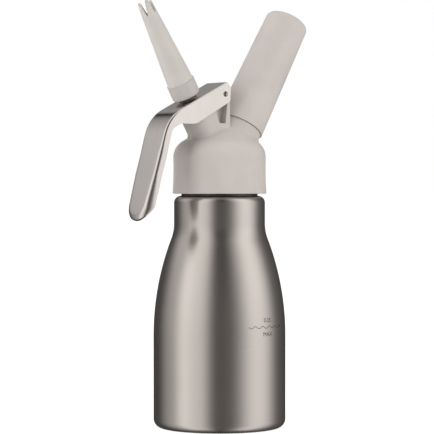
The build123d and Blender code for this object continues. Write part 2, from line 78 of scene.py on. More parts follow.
# Settings

def length(description, millimetres):
    """A size that a user may change, in metres."""
    return partial(
        FloatProperty, description=description, default=millimetres * MM, min=0.0, precision=5,
        subtype="DISTANCE", unit="LENGTH",
    )


def lengths(description, *millimetres):
    """A size that changes along a piece, in metres."""
    return partial(
        FloatVectorProperty, description=description, default=[each * MM for each in millimetres],
        size=len(millimetres), min=0.0, precision=5, unit="LENGTH",
    )


def tint(description, colour):
    """A colour that a user may change, in linear light."""
    return partial(
        FloatVectorProperty, description=description, default=colour, size=3, min=0.0, max=1.0,
        subtype="COLOR",
    )


def share(description, value):
    """A plain share between nothing and all."""
    return partial(
        FloatProperty, description=description, default=value, min=0.0, max=1.0, subtype="FACTOR",
    )


def angle(description, degrees):
    """An angle that a user may change."""
    return partial(
        FloatProperty, description=description, default=radians(degrees), subtype="ANGLE", unit="ROTATION",
    )


def labelled(settings):
    """Make a property of each setting, with a label that says its name."""
    for name, make in settings.__annotations__.items():
        settings.__annotations__[name] = make(name=name.replace("_", " ").capitalize())
    return settings


@labelled
class BottleSettings(PropertyGroup):
    """Sizes and finish of the steel bottle."""

    wall: length("Thickness of the drawn steel", 0.9)
    foot_corner: length("Radius between the foot ring and the barrel", 5.2)
    foot_band: length("Width of the flat ring that the bottle stands on", 3.8)
    base_rise: length("How far the base is pressed in", 2.5)
    base_slope: length("Width of the slope round the pressed-in base", 5.0)
    barrel: length("Height of the straight barrel", 53.5)
    shoulder: length("Radius of the long shoulder", 159.0)
    neck_sweep: length("Radius of the hollow between shoulder and neck", 25.0)
    neck: length("Radius of the neck", 26.5)
    neck_top: length("Height of the ledge under the head", 135.0)
    neck_round: length("Radius of the ledge's edge", 4.0)
    # The bead and its dark colour are painted shade: they stand in for the shadow in the gap under the
    # head's skirt.
    bead: length("Height of the dull bead between the ledge and the thread", 1.2)
    dull: tint("Colour of the unpolished bead", (0.16, 0.15, 0.14))
    finish_root: length("Radius between the turns of the thread", 21.6)
    finish_crest: length("Radius over the thread", 22.35)
    steel: tint("Colour of the brushed steel", (0.6, 0.56, 0.525))
    roughness: share("Roughness of the brushed steel", 0.3)


@labelled
class MarkSettings(PropertyGroup):
    """The etched fill line, its number and its word."""

    height: length("Height of the line above the table", 60.1)
    bearing: angle("Where the mark lies, round from the front towards the holder", 8.7)
    line: length("Length of the line round the bottle", 27.0)
    wave: length("Length of one wave of the line", 5.2)
    swing: length("Height of one wave of the line", 0.6)
    stroke: length("Width of the line", 0.36)
    letters: length("Height of the number and the word", 2.35)
    proud: length("How far the mark stands out of the steel", 0.03)
    number: partial(StringProperty, description="Number over the line", default="0.25")
    word: partial(StringProperty, description="Word under the line", default="MAX")
    ink: tint("Colour of the etched steel", (0.13, 0.12, 0.11))


@labelled
class HeadSettings(PropertyGroup):
    """Sizes and finish of the moulded head."""

    skirt_cut: length("Height of the chamfer that the plain skirt replaces", 1.65)
    skirt_gap: length("How far above the packed chamfer the plain skirt ends", 0.47)
    skirt_round: length("Radius of the skirt's lower edge", 0.6)
    skirt_bore: length("Radius inside the skirt's end", 24.45)
    pocket_floor: length("From the middle to the floor of the side pockets", 4.2)
    pocket_round: length("Radius in the pockets' corners", 0.8)
    plastic: tint("Colour of the moulding", (0.6, 0.55, 0.515))
    roughness: share("Roughness of the moulding", 0.45)


@labelled
class LeverSettings(PropertyGroup):
    """Sizes and finish of the pressed lever and its pin."""

    sheet: length("Thickness of the pressed sheet", 1.2)
    width: length("Width of the lever", 20.7)
    plate_slope: angle("How far the plate falls towards the handle", 26.5)
    turn: angle("Angle between the plate and the handle", 46.6)
    plate_rise: length("From the pin up to the plate", 5.7)
    bend_distance: length("From the pin to the bend", 41.9)
    straight_from: length("Where the plain handle begins, from the bend", 12.0)
    handle: length("From the bend to the handle's end", 61.4)
    reach: lengths("How far the fold reaches inwards, down the handle", 1.5, 2.3, 3.5, 3.6)
    drop: lengths("How far the fold reaches downwards, down the handle", 1.5, 2.3, 5.2, 2.1)
    rim: lengths("Depth of the flanges, down the handle", 4.5, 5.0, 5.5, 2.7)
    soft_from: length("Where the fold begins to widen, from the bend", 34.0)
    steel: tint("Colour of the brushed sheet", (0.68, 0.645, 0.615))
    roughness: share("Roughness of the brushed sheet", 0.21)
    pin: tint("Colour of the pin", (0.66, 0.63, 0.6))
    pin_slot: length("Width of the pin's slot", 0.5)
    pin_lean: angle("Where the slot lies, round the pin", -116.5)


@labelled
class ValveSettings(PropertyGroup):
    """Sizes and finish of the valve under the lever."""

    stem_bore: length("Radius of the bore through the stem", 2.4)
    stem_root: length("Radius between the turns of the stem's thread", 3.7)
    stem_crest: length("Radius of the stem and over its thread", 4.2)
    thread_low: length("Where the stem's threaded end begins, up its axis", 47.4)
    thread_top: length("Where the stem ends, up its axis", 59.055)
    spring_low: length("Where the spring rests on the bush, up the axis", 29.25)
    spring_top: length("Where the spring meets the stem's shoulder, up the axis", 42.6)
    wire: length("Thickness of the spring's wire", 1.0)
    coil: length("Radius of the spring at the middle of its wire", 5.0)
    coils: partial(FloatProperty, description="Open turns of the spring", default=3.5, min=1.0)
    metal: tint("Colour of the turned metal", (0.62, 0.6, 0.57))
    seals: tint("Colour of the silicone seals", (0.32, 0.31, 0.3))


@labelled
class TipSettings(PropertyGroup):
    """Finish of the decorator tip."""

    plastic: tint("Colour of the moulding", (0.625, 0.585, 0.545))
    roughness: share("Roughness of the moulding", 0.42)
    collar_top: length("Where the collar ends, up the valve's axis", 57.26)
    # Collar shade draws the collar, below its top, darker than the cone above it.
    collar_shade: share("How light the satin collar is beside the smooth cone", 0.85)


@labelled
class HolderSettings(PropertyGroup):
    """Finish of the charger holder and of what it covers."""

    plastic: tint("Colour of the moulding", (0.6, 0.55, 0.515))
    roughness: share("Roughness of the moulding", 0.45)
    plating: tint("Colour of the nickel plating", (0.58, 0.55, 0.5))
    charger: tint("Colour of the zinc-plated charger", (0.66, 0.66, 0.66))


@labelled
class StageSettings(PropertyGroup):
    """Camera and light."""

    azimuth: angle("Camera's place round the whipper", -37.0)
    distance: length("From the camera to the bottle's axis", 1230.0)
    camera_height: length("Height of the camera", 139.0)
    aim_height: length("Height that the camera looks at", 122.6)
    side_step: length("How far the view is moved to the left", 1.45)
    lens: partial(FloatProperty, description="Focal length", default=175.0, unit="CAMERA")
    tent: length("Radius of the ring of screens and flags round the whipper", 900.0)
    ambient: share("Level of the light from all round", 0.5)


SETTINGS = {
    "bottle": BottleSettings, "mark": MarkSettings, "head": HeadSettings, "lever": LeverSettings,
    "valve": ValveSettings, "tip": TipSettings, "holder": HolderSettings, "stage": StageSettings,
}


class WhipperSettings(PropertyGroup):
    """All that a user may change."""

    __annotations__ = {name: PointerProperty(type=kind) for name, kind in SETTINGS.items()}


# Modelling

def only(kind, items):
    """Those of one kind among vertices, edges and faces."""
    return [item for item in items if isinstance(item, kind)]


def weld(bm, distance=1e-7):
    """Join vertices that lie on each other."""
    bmesh.ops.remove_doubles(bm, verts=bm.verts[:], dist=distance)


def face_out(bm):
    """Let every face look outwards."""
    bmesh.ops.recalc_face_normals(bm, faces=bm.faces[:])


def spin(bm, geom, angle, steps, cent=(0, 0, 0), axis=(0, 0, 1), rise=0.0, close=False):
    """Sweep geometry round an axis, with a rise for each step, and give back what ends the sweep."""
    return bmesh.ops.spin(
        bm, geom=geom, cent=cent, axis=axis, dvec=(0, 0, rise), angle=angle, steps=steps, use_merge=close,
        use_normal_flip=False, use_duplicate=False,
    )["geom_last"]


class HalfSection:
    """A half section in the XZ plane that is turned round the Z axis."""

    def __init__(self, radius, height):
        self.bm = bmesh.new()
        self.end = self.bm.verts.new((radius, 0, height))

    def line(self, *corners):
        """Go straight on from corner to corner, each a radius and a height."""
        for radius, height in corners:
            corner = self.bm.verts.new((radius, 0, height))
            self.bm.edges.new((self.end, corner))
            self.end = corner

    def arc(self, centre_radius, centre_height, angle, steps):
        """Go on round a centre by an angle, which turns from out to up."""
        ends = spin(self.bm, [self.end], angle, steps, (centre_radius, 0, centre_height), (0, -1, 0))
        self.end = only(BMVert, ends)[0]

    def turn(self, steps):
        """Turn the section once round."""
        spin(self.bm, self.bm.verts[:] + self.bm.edges[:], 2 * pi, steps, close=True)
        weld(self.bm)
        return self.bm


def turned_ring(steps, first, *corners):
    """A ring that is turned from a section with straight sides."""
    section = HalfSection(*first)
    section.line(*corners, first)
    return section.turn(steps)


def clamp(value):
    """A value held between nothing and one."""
    return max(0.0, min(1.0, value))


# Threads: body, slot, pitch, turns, start up the axis and, where no setting gives them, the radius at the
# root and at the crest; sizes in millimetres
THREADS = {
    "bottle_thread": ("bottle", "bottle_steel", 4.5, 2.5, 137.5),
    "ring_thread": ("head", "ring_aluminium", 4.5, 2.2, 139.75, 22.75, 21.95),
    "stem_thread": ("valve", "turned_steel", 2.5, 3.6, 49.15),
    "tip_thread": ("tip", "tip_plastic", 2.5, 3.0, 50.4, 4.28, 3.85),
    "holder_thread": ("holder", "holder_plastic", 3.0, 3.1, 31.75, 11.0, 10.15),
    "nipple_thread": ("head", "turned_brass", 3.0, 3.6, 30.25, 9.9, 10.6),
}
# Half widths of a ridge and the length of its fade, in pitches
HALF_ROOT, HALF_CREST, FADE = 0.3, 0.1, 0.3
# How far the fade reaches past the ends in its own lengths, how far the ridge is sunk in depths of the
# thread, and the steps in a turn
FADE_LEAD, SUNK, THREAD_STEPS = 1.2, 0.2, 40


def thread_ridge(root, crest, pitch, turns, start):
    """A trapezoid ridge that climbs a stud or a bore and fades out at both ends."""
    bm = bmesh.new()
    half_root, half_crest = pitch * HALF_ROOT, pitch * HALF_CREST
    sunk = root + (root - crest) * SUNK
    corners = (sunk, -half_root), (crest, -half_crest), (crest, half_crest), (sunk, half_root)
    section = bm.faces.new([bm.verts.new((radius, 0, start + height)) for radius, height in corners])
    spin(bm, [section], 2 * pi * turns, round(THREAD_STEPS * turns), rise=pitch / THREAD_STEPS)
    low, high = start, start + pitch * turns
    fade = pitch * FADE
    for vertex in bm.verts:
        climb = (vertex.co.z - low) / fade, (high - vertex.co.z) / fade
        rise = clamp(min(climb) + FADE_LEAD)
        flat = Vector((vertex.co.x, vertex.co.y))
        flat *= (sunk + (flat.length - sunk) * rise) / flat.length
        vertex.co.x, vertex.co.y = flat
    return bm


def along(axis, bm):
    """Lay a piece that was made round the Z axis along a tilted axis through the crossing."""
    matrix = Matrix.Translation(crossing) @ axis.to_track_quat("Z", "Y").to_matrix().to_4x4()
    bmesh.ops.transform(bm, matrix=matrix, verts=bm.verts[:])
    return bm


def coil_spring(size):
    """A coil spring round the Z axis, with a closed turn at each end."""
    bm = bmesh.new()
    low = size.spring_low + size.wire / 2
    matrix = Matrix.Translation((size.coil, 0, low)) @ Matrix.Rotation(pi / 2, 4, "X")
    section = bmesh.ops.create_circle(bm, cap_ends=True, segments=10, radius=size.wire / 2, matrix=matrix)
    end = section["verts"][0].link_faces[0]
    starts = []
    per_turn = 28
    open_rise = size.spring_top - size.spring_low - 3 * size.wire
    for turns, rise in ((1.0, size.wire), (size.coils, open_rise), (1.0, size.wire)):
        starts.append(end)
        steps = round(per_turn * turns)
        end = only(BMFace, spin(bm, [end], 2 * pi * turns, steps, rise=rise / steps))[0]
    bmesh.ops.delete(bm, geom=starts[1:], context="FACES_ONLY")
    weld(bm)
    return bm


def ease(value):
    """A soft step from nothing to one."""
    value = clamp(value)
    return value * value * (3 - 2 * value)


def along_handle(size, run, measure):
    """A measure that is given where the handle begins, along its grip, beside its end and at its end."""
    first, grip, wide, end = measure
    half = size.width / 2
    settle = ease((run - size.straight_from) / size.straight_from)
    swell = clamp((run - size.soft_from) / (size.handle - half - size.soft_from))
    close = ease((run - size.handle + half) / half)
    return first + (grip - first) * settle + (wide - grip) * swell + (end - wide) * close


# Where the handle's fold begins and ends, from its middle to the flange's rim, and the grid it is made of
FOLD_FROM, FOLD_TO = 0.2, 0.8
ROUND_STEPS, ACROSS_STEPS = 168, 20


def handle_point(size, along_edge, across):
    """Place on the handle: once round its edge, and from its middle over the fold to the flange's rim."""
    half = size.width / 2
    straight = size.handle - half - size.straight_from
    edge = along_edge * (2 * straight + pi * half)
    if edge < straight:
        run, side, inward = size.straight_from + edge, half, (0.0, -1.0)
    elif edge < straight + pi * half:
        turned = (edge - straight) / half
        inward = (-sin(turned), -cos(turned))
        run, side = size.handle - half - half * inward[0], -half * inward[1]
    else:
        run, side, inward = size.straight_from + 2 * straight + pi * half - edge, -half, (0.0, 1.0)
    reach, drop, rim = (along_handle(size, run, each) for each in (size.reach, size.drop, size.rim))
    if across < FOLD_FROM:
        inset, sunk = half + (reach - half) * across / FOLD_FROM, 0.0
    elif across < FOLD_TO:
        bent = (across - FOLD_FROM) / (FOLD_TO - FOLD_FROM) * pi / 2
        inset, sunk = reach * (1 - sin(bent)), drop * (1 - cos(bent))
    else:
        inset, sunk = 0.0, drop + (rim - drop) * (across - FOLD_TO) / (1 - FOLD_TO)
    return Vector((run + inset * inward[0], side + inset * inward[1], -sunk))


def lever_sheet(size):
    """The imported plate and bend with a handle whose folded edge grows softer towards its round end."""
    plate_run = Vector((-cos(size.plate_slope), 0, -sin(size.plate_slope)))
    plate_out = Vector((-sin(size.plate_slope), 0, cos(size.plate_slope)))
    run = plate_run * cos(size.turn) - plate_out * sin(size.turn)
    out = plate_run * sin(size.turn) + plate_out * cos(size.turn)
    corner = pivot + plate_run * size.bend_distance + plate_out * size.plate_rise
    handle = bmesh.new()
    bmesh.ops.create_grid(handle, x_segments=ROUND_STEPS, y_segments=ACROSS_STEPS, size=0.5)
    for vertex in handle.verts:
        vertex.co = handle_point(size, vertex.co.x + 0.5, vertex.co.y + 0.5)
    weld(handle)
    face_out(handle)
    bmesh.ops.solidify(handle, geom=handle.faces[:], thickness=size.sheet)
    place = Matrix((run, out.cross(run), out)).transposed().to_4x4()
    bmesh.ops.transform(handle, matrix=Matrix.Translation(corner) @ place, verts=handle.verts[:])
    made = bpy.data.meshes.new("handle")
    handle.to_mesh(made)
    handle.free()
    bm, rims = cut_copy("lever", corner + run * size.straight_from, run, trace=True)
    bmesh.ops.holes_fill(bm, edges=rims, sides=0)
    bm.from_mesh(made)
    bpy.data.meshes.remove(made)
    return bm


def plain_skirt(size, cut):
    """The plain end of the head's skirt, which stops over the bottle's ledge."""
    low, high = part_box("head_shell")
    radius, foot = high.y, low.z + size.skirt_gap
    ring = HalfSection(radius, cut)
    ring.line((radius, foot + size.skirt_round))
    ring.arc(radius - size.skirt_round, foot + size.skirt_round, -pi / 2, 6)
    ring.line((size.skirt_bore, foot), (size.skirt_bore, cut), (radius, cut))
    return ring.turn(144)


# Corners of the bearing's side pockets, beside the lever's pin and above it, in millimetres
POCKET = ((2.6, -4.6), (1.4, -16.8), (-3.0, -16.8), (-6.0, -9.2), (-3.2, -4.9))


def pocket_web(size):
    """A web across the bearing that leaves its two side pockets shallow."""
    bm = bmesh.new()
    corners = [pivot + Vector((beside * MM, -size.pocket_floor, above * MM)) for beside, above in POCKET]
    bm.faces.new([bm.verts.new(corner) for corner in corners])
    bmesh.ops.bevel(
        bm, geom=bm.verts[:], offset=size.pocket_round, offset_type="OFFSET", segments=4, profile=0.5,
        affect="VERTICES", material=-1,
    )
    swept = bmesh.ops.extrude_face_region(bm, geom=bm.faces[:])
    moved = only(BMVert, swept["geom"])
    bmesh.ops.translate(bm, vec=(0, 2 * size.pocket_floor, 0), verts=moved)
    return bm


# End of the pin's wall, from outside to the bore: radius, and distance from the end, in millimetres
PIN = ((1.5, 0.8), (1.14, 0.0), (1.1, 0.0), (0.55, 0.75))


def rolled_pin(size):
    """A slotted tube with tapered ends and flared mouths, where the lever turns."""
    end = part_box("lever_pin")[1].y
    half = [(radius * MM, end - inset * MM) for radius, inset in PIN]
    bm = bmesh.new()
    corners = [bm.verts.new((radius, place, 0)) for radius, place in half]
    corners += [bm.verts.new((radius, -place, 0)) for radius, place in reversed(half)]
    bm.faces.new(corners)
    slot = 2 * asin(size.pin_slot / (half[0][0] + half[-1][0]))
    bmesh.ops.rotate(bm, verts=bm.verts[:], cent=(0, 0, 0), matrix=Matrix.Rotation(slot / 2, 3, "Y"))
    spin(bm, bm.faces[:], 2 * pi - slot, 40, axis=(0, 1, 0))
    lean = Matrix.Rotation(size.pin_lean, 4, "Y")
    bmesh.ops.transform(bm, matrix=Matrix.Translation(pivot) @ lean, verts=bm.verts[:])
    return bm


def cut_copy(name, point, axis, trace=False):
    """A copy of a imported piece, cut off square to an axis, and the edges of the cut.

    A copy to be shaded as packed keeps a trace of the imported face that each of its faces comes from.
    """
    bm = bmesh.new()
    bm.from_mesh(nodes[name].data)
    if trace:
        origin = bm.faces.layers.int.new("packed_face")
        for place, face in enumerate(bm.faces):
            face[origin] = place + 1
    weld(bm, 1e-6)
    cut = bmesh.ops.bisect_plane(
        bm, geom=bm.verts[:] + bm.edges[:] + bm.faces[:], dist=1e-7, plane_co=point, plane_no=axis,
        clear_outer=True, clear_inner=False,
    )
    face_out(bm)
    return bm, only(BMEdge, cut["geom_cut"])


def new_object(name, bm, material):
    """Make an object of a bmesh."""
    mesh = bpy.data.meshes.new(name)
    bm.to_mesh(mesh)
    bm.free()
    mesh.materials.append(material)
    made = bpy.data.objects.new(name, mesh)
    bpy.context.scene.collection.objects.link(made)
    return made


def piece(name, bm, body, material, sharp=35.0, stands_for=None):
    """Make a piece of the whipper of a bmesh and let it ride on its body."""
    face_out(bm)
    made = new_object(name, bm, material)
    made.data.shade_smooth()
    made.data.set_sharp_from_angle(angle=radians(sharp))
    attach(made, body)
    if stands_for:
        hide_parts(stands_for)
    return made


def thread(name, material, axis=None, radii=None):
    """Make the ridge of a thread a piece, on the bottle's axis or on a tilted one."""
    body, slot, pitch, turns, start, *fixed = THREADS[name]
    root, crest = radii or (radius * MM for radius in fixed)
    ridge = thread_ridge(root, crest, pitch * MM, turns, start * MM)
    piece(name, along(axis, ridge) if axis else ridge, body, material, sharp=20.0)


def shade_as_packed(made, name):
    """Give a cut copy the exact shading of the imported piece, on every face that comes from it."""
    mesh, packed = made.data, nodes[name].data
    normals = [corner.vector.copy() for corner in mesh.corner_normals]
    for face, origin in zip(mesh.polygons, mesh.attributes["packed_face"].data):
        if not origin.value:
            continue
        source = packed.polygons[origin.value - 1]
        corners = [packed.vertices[index].co for index in source.vertices]
        for loop in face.loop_indices:
            shares = poly_3d_calc(corners, mesh.vertices[mesh.loops[loop].vertex_index].co)
            normal = Vector()
            for place, part in zip(source.loop_indices, shares):
                normal += packed.corner_normals[place].vector * part
            if normal.length > 0.5:
                normals[loop] = normal.normalized()
    mesh.attributes.remove(mesh.attributes["packed_face"])
    mesh.normals_split_custom_set(normals)


def dress(material, *names):
    """Give a finish to pieces that keep the shape they were packed with."""
    for name in names:
        if not nodes[name].material_slots:
            nodes[name].data.materials.append(material)
        nodes[name].material_slots[0].material = material


# Finishes

def feed(tree, node, inputs):
    """Link a node's inputs to sockets or set their values."""
    for name, value in inputs.items():
        if isinstance(value, bpy.types.NodeSocket):
            tree.links.new(value, node.inputs[name])
        else:
            node.inputs[name].default_value = value


def add(tree, kind, inputs=None, **attributes):
    """Add a shader node, set its attributes and feed its inputs."""
    node = tree.nodes.new("ShaderNode" + kind)
    for name, value in attributes.items():
        setattr(node, name, value)
    feed(tree, node, inputs or {})
    return node


def noise(tree, vector, scale, detail, roughness):
    """A noise texture over a vector."""
    inputs = {"Vector": vector, "Scale": scale, "Detail": detail, "Roughness": roughness}
    return add(tree, "TexNoise", inputs).outputs["Fac"]


def remap(tree, value, low, high, to_low, to_high, smooth=False):
    """Map a value from one range to another."""
    return add(
        tree, "MapRange",
        {"Value": value, "From Min": low, "From Max": high, "To Min": to_low, "To Max": to_high},
        interpolation_type="SMOOTHERSTEP" if smooth else "LINEAR",
    ).outputs["Result"]


def blend_colours(tree, factor, first, second):
    """Mix two plain colours by a mask."""
    inputs = {0: factor, 6: (*first, 1.0), 7: (*second, 1.0)}
    return add(tree, "Mix", inputs, data_type="RGBA").outputs[2]


def combine(tree, first, second, operation="ADD"):
    """Put two values together."""
    return add(tree, "Math", {0: first, 1: second}, operation=operation).outputs[0]


def bump(tree, height, strength, depth):
    """The normal of a surface that a mask raises."""
    inputs = {"Height": height, "Strength": strength, "Distance": depth}
    return add(tree, "Bump", inputs).outputs["Normal"]


def shade(colour, factor):
    """A colour made lighter or darker."""
    return tuple(min(1.0, channel * factor) for channel in colour)


def new_group(name, inputs, outputs):
    """An empty node group with its named inputs, each of a kind, and outputs that are values."""
    tree = bpy.data.node_groups.new(name, "ShaderNodeTree")
    for label, kind in inputs.items():
        tree.interface.new_socket(name=label, in_out="INPUT", socket_type="NodeSocket" + kind)
    for label in outputs:
        tree.interface.new_socket(name=label, in_out="OUTPUT", socket_type="NodeSocketFloat")
    return tree, tree.nodes.new("NodeGroupInput").outputs, tree.nodes.new("NodeGroupOutput")


def brushing_group(name):
    """Long streaks of a brushing belt, and the soft patches of handling."""
    inputs = {"Stretched": "Vector", "Plain": "Vector"}
    tree, entry, leave = new_group(name, inputs, ("Streaks", "Patches"))
    coarse = noise(tree, entry["Stretched"], scale=1.0, detail=5.0, roughness=0.62)
    fine = noise(tree, entry["Stretched"], scale=4.3, detail=3.0, roughness=0.7)
    streaks = combine(tree, combine(tree, coarse, fine), 0.5, "MULTIPLY")
    patches = noise(tree, entry["Plain"], scale=22.0, detail=3.0, roughness=0.5)
    feed(tree, leave, {
        "Streaks": remap(tree, streaks, 0.32, 0.68, 0.0, 1.0),
        "Patches": remap(tree, patches, 0.35, 0.65, 0.0, 1.0, smooth=True),
    })
    return tree


def grain_group(name):
    """The fine spark-eroded grain of a mould, and the soft mottle of its plastic."""
    inputs = {"Plain": "Vector", "Grain Scale": "Float"}
    tree, entry, leave = new_group(name, inputs, ("Grain", "Mottle"))
    mottle = noise(tree, entry["Plain"], scale=60.0, detail=4.0, roughness=0.55)
    feed(tree, leave, {
        "Grain": noise(tree, entry["Plain"], entry["Grain Scale"], detail=2.0, roughness=0.6),
        "Mottle": remap(tree, mottle, 0.35, 0.65, 0.0, 1.0, smooth=True),
    })
    return tree


def group_node(tree, name, maker, inputs):
    """Place a shared node group, which is made the first time, and give back its outputs."""
    group = bpy.data.node_groups.get(name) or maker(name)
    return add(tree, "Group", inputs, node_tree=group).outputs


def new_material(name):
    """An empty material with its shader and its place on the piece."""
    material = bpy.data.materials.new(name)
    material.use_nodes = True
    tree = material.node_tree
    place = add(tree, "TexCoord").outputs["Object"]
    return material, tree, tree.nodes["Principled BSDF"], place


def brushed_metal(
    name, colour, roughness, stretch, turn=(0.0, 0.0, 0.0), anisotropy=0.0, contrast=0.05, round_axis="Z",
):
    """Metal with long fine streaks, which are short along the direction of the largest stretch."""
    material, tree, shader, place = new_material(name)
    inputs = {"Vector": place, "Rotation": turn, "Scale": stretch}
    stretched = add(tree, "Mapping", inputs, vector_type="POINT").outputs["Vector"]
    brushing = group_node(tree, "fine_brushing", brushing_group, {"Stretched": stretched, "Plain": place})
    streaks = brushing["Streaks"]
    worn = combine(tree, streaks, brushing["Patches"])
    dark, light = shade(colour, 1 - contrast), shade(colour, 1 + contrast)
    wear = 0.03
    feed(tree, shader, {
        "Base Color": blend_colours(tree, streaks, dark, light),
        "Roughness": remap(tree, worn, 0.0, 2.0, roughness - wear, roughness + wear),
        "Normal": bump(tree, streaks, strength=0.025, depth=0.03 * MM),
        "Metallic": 1.0,
    })
    if anisotropy:
        tangent = add(tree, "Tangent", direction_type="RADIAL", axis=round_axis)
        feed(tree, shader, {
            "Anisotropic": anisotropy, "Anisotropic Rotation": 0.25, "Tangent": tangent.outputs["Tangent"],
        })
    return material


def moulded_plastic(name, colour, roughness, grain=4200.0, darker_below=None):
    """Matt moulded plastic with a fine grain and a slight mottle.

    Where asked, it is darker below a height: the axis, the height along it, and how light it is there.
    """
    material, tree, shader, place = new_material(name)
    surface = group_node(tree, "moulded_grain", grain_group, {"Plain": place, "Grain Scale": grain})
    mottle = surface["Mottle"]
    tone = blend_colours(tree, mottle, shade(colour, 0.975), shade(colour, 1.02))
    if darker_below:
        axis, top, lightness = darker_below
        edge = 0.1 * MM
        height = add(tree, "VectorMath", {0: place, 1: axis}, operation="DOT_PRODUCT")
        part = remap(tree, height.outputs["Value"], top - edge, top + edge, lightness, 1.0, smooth=True)
        tone = add(tree, "VectorMath", {0: tone, "Scale": part}, operation="SCALE").outputs[0]
    feed(tree, shader, {
        "Base Color": tone,
        "Roughness": remap(tree, mottle, 0.0, 1.0, roughness - 0.04, roughness + 0.05),
        "Normal": bump(tree, surface["Grain"], strength=0.12, depth=0.06 * MM),
        "Specular IOR Level": 0.4,
    })
    return material


# Pieces

# How often streaks repeat in a metre along X, Y and Z, on steel that is brushed round the bottle's axis
ROUND_STREAKS = (9.0, 9.0, 1900.0)


class WHIPPER_OT_bottle(Operator):
    """Turn the bottle with its pressed-in base, its neck and the thread under the head"""

    bl_idname = "whipper.bottle"
    bl_label = "Bottle"

    def execute(self, context):
        size = context.scene.whipper.bottle
        steel = brushed_metal(
            "brushed_bottle_steel", size.steel, size.roughness, ROUND_STREAKS, anisotropy=0.6,
            contrast=0.03,
        )
        body = self.section(size).turn(144)
        piece("bottle_body", body, "bottle", steel, stands_for="bottle")
        root, crest = size.finish_root, size.finish_crest
        thread("bottle_thread", steel, radii=(root, crest))
        # A dark bead in the gap under the head's skirt: painted shade for the shadow that falls there.
        sunk = 0.1 * MM
        inner, outer = root - sunk, crest - sunk
        low, high = size.neck_top - sunk, size.neck_top + size.bead
        slope_top = high + crest - root
        bead = turned_ring(96, (inner, low), (outer, low), (outer, high), (inner, slope_top))
        dull = brushed_metal("painted_shade_neck_steel", size.dull, 0.5, ROUND_STREAKS)
        piece("painted_shade_bead", bead, "bottle", dull)
        return {"FINISHED"}

    def section(self, size):
        """The bottle's half section, up the outside and down the inside."""
        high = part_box("bottle")[1]
        radius, rim = high.x, high.z
        wall, corner, barrel, shoulder = size.wall, size.foot_corner, size.barrel, size.shoulder
        neck, top, root = size.neck, size.neck_top, size.finish_root
        foot_centre = radius - corner
        foot_inner = foot_centre - size.foot_band
        slope_inner = foot_inner - size.base_slope
        shoulder_centre, sweep_centre = radius - shoulder, neck + size.neck_sweep
        across = sweep_centre - shoulder_centre
        climb = sqrt((shoulder + size.neck_sweep) ** 2 - across ** 2)
        swing = atan2(climb, across)
        sweep_height = barrel + climb
        ledge = neck - size.neck_round, top - size.neck_round
        lip = wall / 2
        section = HalfSection(0, size.base_rise)
        section.line((slope_inner, size.base_rise), (foot_inner, 0), (foot_centre, 0))
        section.arc(foot_centre, corner, pi / 2, 10)
        section.line(*((radius, corner + (barrel - corner) * level / 8) for level in range(1, 9)))
        section.arc(shoulder_centre, barrel, swing, 28)
        section.arc(sweep_centre, sweep_height, -swing, 14)
        section.line((neck, ledge[1]))
        section.arc(*ledge, pi / 2, 8)
        section.line((root, top), (root, rim - lip))
        section.arc(root - lip, rim - lip, pi, 8)
        section.line((root - wall, top - wall), (ledge[0], top - wall))
        section.arc(*ledge, -pi / 2, 6)
        section.line((neck - wall, sweep_height))
        section.arc(sweep_centre, sweep_height, swing, 14)
        section.arc(shoulder_centre, barrel, -swing, 28)
        section.line((radius - wall, corner))
        section.arc(foot_centre, corner, -pi / 2, 8)
        floor = size.base_rise + wall
        section.line((foot_inner, wall), (slope_inner, floor), (0, floor))
        return section


# From the fill line to the middle of the number and of the word, in heights of the letters, and how
# much of a font's size its capitals take
NUMBER_LIFT, WORD_LIFT, CAPITALS = 1.65, -1.75, 0.69


class WHIPPER_OT_fill_mark(Operator):
    """Etch the fill line, its number and its word on the barrel"""

    bl_idname = "whipper.fill_mark"
    bl_label = "Fill mark"

    def execute(self, context):
        size = context.scene.whipper.mark
        etched = brushed_metal("etched_mark", size.ink, 0.6, (40.0, 40.0, 2500.0), contrast=0.2)
        for name, bm, lift in (
            ("fill_line", self.wave(size), 0.0),
            ("fill_number", self.letters(context, size.number), NUMBER_LIFT * size.letters),
            ("fill_word", self.letters(context, size.word), WORD_LIFT * size.letters),
        ):
            self.wrap(context.scene.whipper, bm, lift)
            piece(name, bm, "bottle", etched)
        return {"FINISHED"}

    def wave(self, size):
        """The wavy line, laid out flat."""
        bm = bmesh.new()
        bmesh.ops.create_grid(bm, x_segments=160, y_segments=1, size=0.5)
        for vertex in bm.verts:
            run = vertex.co.x * size.line
            wave = size.swing * sin(2 * pi * run / size.wave)
            vertex.co = (run, wave + vertex.co.y * size.stroke, 0)
        return bm

    def letters(self, context, text):
        """A number or a word, laid out flat."""
        curve = bpy.data.curves.new("letters", "FONT")
        curve.body = text
        curve.align_x = curve.align_y = "CENTER"
        curve.size = context.scene.whipper.mark.letters / CAPITALS
        written = bpy.data.objects.new("letters", curve)
        context.scene.collection.objects.link(written)
        context.view_layer.update()
        evaluated = written.evaluated_get(context.evaluated_depsgraph_get())
        flat = bpy.data.meshes.new_from_object(evaluated)
        bm = bmesh.new()
        bm.from_mesh(flat)
        weld(bm)
        bpy.data.objects.remove(written)
        bpy.data.curves.remove(curve)
        bpy.data.meshes.remove(flat)
        return bm

    def wrap(self, whipper, bm, lift):
        """Lay a flat mark round the barrel and give it a thickness."""
        size, bottle = whipper.mark, whipper.bottle
        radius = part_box("bottle")[1].x
        for vertex in bm.verts:
            bearing = size.bearing + vertex.co.x / radius
            height = size.height + lift + vertex.co.y
            over = max(0.0, height - bottle.barrel)
            at = radius - bottle.shoulder + sqrt(bottle.shoulder ** 2 - over ** 2) + size.proud
            vertex.co = (at * sin(bearing), -at * cos(bearing), height)
        bm.normal_update()
        level = Vector((1, 1, 0))
        inward = [face for face in bm.faces if face.normal.dot(face.calc_center_median() * level) < 0]
        bmesh.ops.reverse_faces(bm, faces=inward)
        bmesh.ops.solidify(bm, geom=bm.faces[:], thickness=size.proud)


